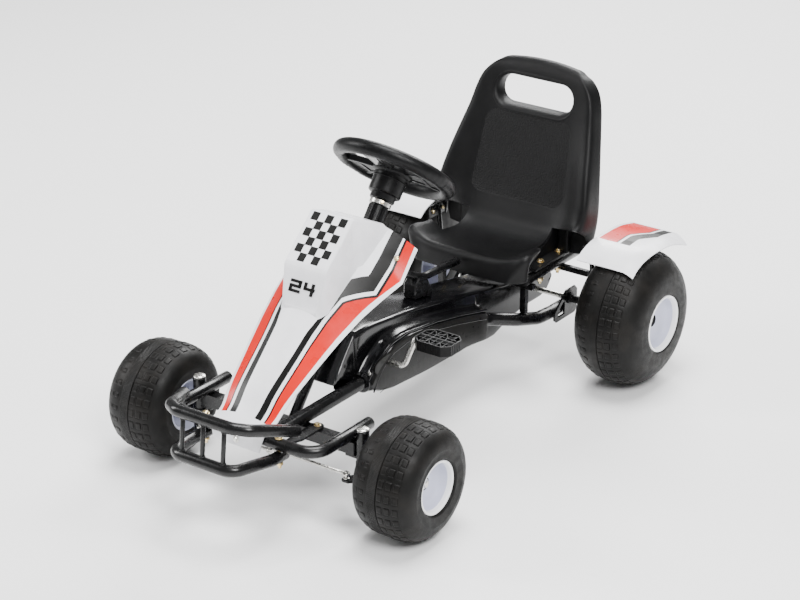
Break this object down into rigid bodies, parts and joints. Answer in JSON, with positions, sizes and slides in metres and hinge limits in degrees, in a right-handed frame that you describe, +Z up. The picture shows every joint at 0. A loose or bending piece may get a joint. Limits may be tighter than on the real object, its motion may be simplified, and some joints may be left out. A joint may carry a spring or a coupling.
{
  "type": "pedal go kart",
  "caption": "Children's pedal go kart: black tubular frame, enclosed chain drive, bucket seat, steering wheel, white nose fairing, rear fenders and fat treaded tyres on white rims.",
  "frame": {"origin": "centre of the footprint of the bounding box, on the floor the tyres stand on", "axes": "+X to the driver's left, +Y to the rear, +Z up"},
  "size_m": [0.6332, 1.0569, 0.5555],
  "materials": {
    "frame_paint": "gloss black powder coat",
    "case_plastic": "gloss black with a matt side panel",
    "dark_steel": "plain steel",
    "bright_zinc": "bright zinc plate",
    "gold_zinc": "yellow zinc plate",
    "black_plastic": "satin black",
    "seat_plastic": "fine-grained satin black",
    "white_plastic": "gloss white with printed stripes",
    "rim_plastic": "white, slightly lavender",
    "tyre_rubber": "treaded black rubber"
  },
  "bodies": {
    "chassis": {"main_tube_left": "frame_paint", "main_tube_right": "frame_paint", "front_bar": "frame_paint", "axle_beam": "frame_paint", "front_bumper": "frame_paint", "axle_plate_left": "frame_paint", "axle_plate_right": "frame_paint", "seat_rail_left": "frame_paint", "seat_rail_right": "frame_paint", "seat_crossbar_front": "frame_paint", "seat_crossbar_rear": "frame_paint", "fender_bracket_left": "frame_paint", "fender_bracket_right": "frame_paint", "column_support": "frame_paint", "chain_case_left": "case_plastic", "chain_case_right": "case_plastic", "chain": "dark_steel", "crank_bush_left": "black_plastic", "crank_bush_right": "black_plastic", "fairing": "white_plastic", "nose_bolt": "bright_zinc", "fairing_screw_left": "gold_zinc", "fairing_screw_right": "gold_zinc", "seat": "seat_plastic", "rail_plug_left": "black_plastic", "rail_plug_right": "black_plastic", "seat_bolt_front_left": "gold_zinc", "seat_bolt_front_right": "gold_zinc", "seat_bolt_rear_left": "gold_zinc", "seat_bolt_rear_right": "gold_zinc", "bumper_bolt_left": "gold_zinc", "bumper_bolt_right": "gold_zinc", "axle_bush_left": "black_plastic", "axle_bush_right": "black_plastic", "fender_left": "white_plastic", "fender_right": "white_plastic"},
    "steering": {"steering_column": "dark_steel", "column_sleeve": "black_plastic", "column_collar": "gold_zinc", "steering_wheel": "black_plastic"},
    "rear_axle": {"rear_axle": "bright_zinc", "sprocket": "dark_steel", "rear_tyre_left": "tyre_rubber", "rear_tyre_right": "tyre_rubber", "rear_rim_left": "rim_plastic", "rear_rim_right": "rim_plastic", "axle_spacer_left": "black_plastic", "axle_spacer_right": "black_plastic"},
    "crank": {"crank": "bright_zinc", "chainring": "dark_steel"},
    "knuckle_left": {"knuckle_left": "dark_steel"},
    "tie_rod_left": {"tie_rod_left": "dark_steel"},
    "front_wheel_left": {"front_tyre_left": "tyre_rubber", "front_rim_left": "rim_plastic"},
    "pedal_left": {"pedal_left": "black_plastic"},
    "knuckle_right": {"knuckle_right": "dark_steel"},
    "tie_rod_right": {"tie_rod_right": "dark_steel"},
    "front_wheel_right": {"front_tyre_right": "tyre_rubber", "front_rim_right": "rim_plastic"},
    "pedal_right": {"pedal_right": "black_plastic"}
  },
  "joints": [
    {"name": "steering_turn", "type": "hinge", "parent": "chassis", "child": "steering", "pos_m": [0, 0.0061, 0.4759], "axis": [0, 0.6293, 0.7771], "range_deg": [-25, 25]},
    {"name": "rear_axle_spin", "type": "hinge", "parent": "chassis", "child": "rear_axle", "pos_m": [0, 0.4019, 0.127], "axis": [1, 0, 0], "continuous": true},
    {"name": "crank_spin", "type": "hinge", "parent": "chassis", "child": "crank", "pos_m": [0, -0.1007, 0.1756], "axis": [1, 0, 0], "continuous": true},
    {"name": "kingpin_left", "type": "hinge", "parent": "chassis", "child": "knuckle_left", "pos_m": [0.17, -0.3172, 0.1], "axis": [0, 0, 1], "range_deg": [-26, 26]},
    {"name": "tie_rod_eye_left", "type": "hinge", "parent": "knuckle_left", "child": "tie_rod_left", "pos_m": [0.153, -0.3397, 0.09], "axis": [0, 0, 1], "range_deg": [-29, 29]},
    {"name": "front_wheel_spin_left", "type": "hinge", "parent": "knuckle_left", "child": "front_wheel_left", "pos_m": [0.2562, -0.3087, 0.1], "axis": [1, 0, 0], "continuous": true},
    {"name": "pedal_spin_left", "type": "hinge", "parent": "crank", "child": "pedal_left", "pos_m": [0.148, -0.0737, 0.222], "axis": [1, 0, 0], "continuous": true},
    {"name": "kingpin_right", "type": "hinge", "parent": "chassis", "child": "knuckle_right", "pos_m": [-0.17, -0.3172, 0.1], "axis": [0, 0, 1], "range_deg": [-26, 26]},
    {"name": "tie_rod_eye_right", "type": "hinge", "parent": "knuckle_right", "child": "tie_rod_right", "pos_m": [-0.153, -0.3397, 0.086], "axis": [0, 0, 1], "range_deg": [-29, 29]},
    {"name": "front_wheel_spin_right", "type": "hinge", "parent": "knuckle_right", "child": "front_wheel_right", "pos_m": [-0.2562, -0.3087, 0.1], "axis": [1, 0, 0], "continuous": true},
    {"name": "pedal_spin_right", "type": "hinge", "parent": "crank", "child": "pedal_right", "pos_m": [-0.148, -0.1277, 0.1292], "axis": [1, 0, 0], "continuous": true}
  ],
  "couplings": [
    {"joint": "crank_spin", "follows": "rear_axle_spin", "ratio": 0.33333},
    {"joint": "kingpin_left", "follows": "steering_turn", "ratio": 1},
    {"joint": "tie_rod_eye_left", "follows": "steering_turn", "ratio": -1.108},
    {"joint": "kingpin_right", "follows": "steering_turn", "ratio": 1},
    {"joint": "tie_rod_eye_right", "follows": "steering_turn", "ratio": -1.108}
  ]
}
